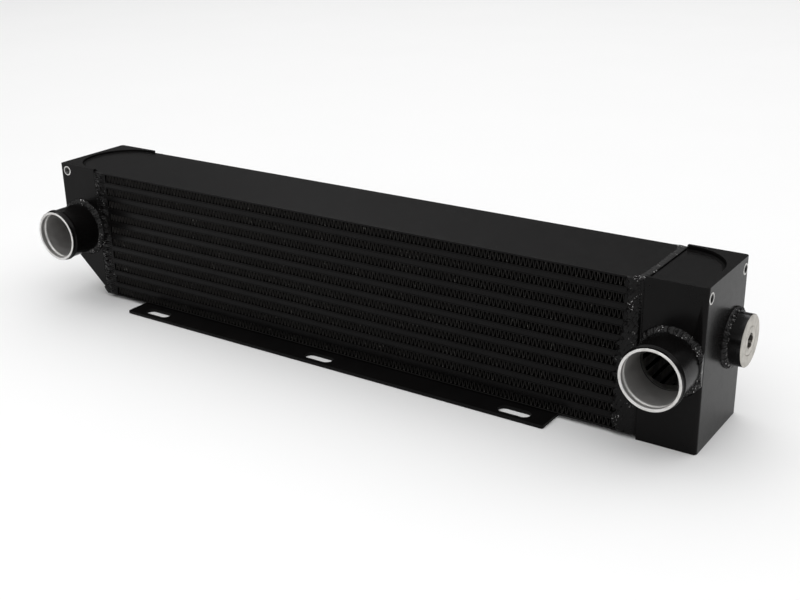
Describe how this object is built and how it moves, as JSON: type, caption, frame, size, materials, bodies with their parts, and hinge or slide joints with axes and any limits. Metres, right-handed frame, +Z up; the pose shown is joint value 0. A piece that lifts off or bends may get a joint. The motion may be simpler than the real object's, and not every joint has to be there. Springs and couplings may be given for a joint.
{
  "type": "hydraulic oil cooler",
  "caption": "Long bar-and-plate oil cooler: black finned core between welded end tanks, with beaded hose ports, a plugged end boss and a slotted mounting flange.",
  "frame": {"origin": "mid length and mid depth of tanks and core, on the underside plane of the flange and the right tank", "axes": "+X along the length towards the tank with the end boss, -Y out of the front with the hose ports and flange, +Z up"},
  "size_m": [0.714, 0.1281, 0.138],
  "materials": {
    "black_paint": "satin black paint over aluminium",
    "painted_weld": "satin black paint over weld beads",
    "painted_fin": "thin black paint over corrugated aluminium",
    "bare_fin": "brazed mill finish",
    "machined_metal": "turned, bare"
  },
  "bodies": {
    "root": {"air_fin_01": "painted_fin", "air_fin_02": "painted_fin", "air_fin_03": "painted_fin", "air_fin_04": "painted_fin", "air_fin_05": "painted_fin", "air_fin_06": "painted_fin", "air_fin_07": "painted_fin", "air_fin_08": "painted_fin", "air_fin_09": "painted_fin", "air_fin_10": "painted_fin", "boss_plug": "machined_metal", "boss_weld": "painted_weld", "bottom_side_plate": "black_paint", "end_boss": "black_paint", "front_face_bars": "black_paint", "left_core_seam": "painted_weld", "left_end_bars": "black_paint", "left_foot_weld": "painted_weld", "left_front_insert": "machined_metal", "left_lid_weld": "painted_weld", "left_port_tube": "black_paint", "left_port_weld": "painted_weld", "left_slope_cap": "black_paint", "left_tank_shell": "black_paint", "mounting_flange": "black_paint", "oil_fin_01": "bare_fin", "oil_fin_02": "bare_fin", "oil_fin_03": "bare_fin", "oil_fin_04": "bare_fin", "oil_fin_05": "bare_fin", "oil_fin_06": "bare_fin", "oil_fin_07": "bare_fin", "oil_fin_08": "bare_fin", "oil_fin_09": "bare_fin", "parting_sheets": "black_paint", "rear_face_bars": "black_paint", "right_bottom_cap": "black_paint", "right_bottom_cap_weld": "painted_weld", "right_core_seam": "painted_weld", "right_end_bars": "black_paint", "right_end_inserts": "machined_metal", "right_port_tube": "black_paint", "right_port_weld": "painted_weld", "right_tank_shell": "black_paint", "right_top_cap": "black_paint", "right_top_cap_weld": "painted_weld", "top_side_plate": "black_paint"}
  },
  "joints": []
}
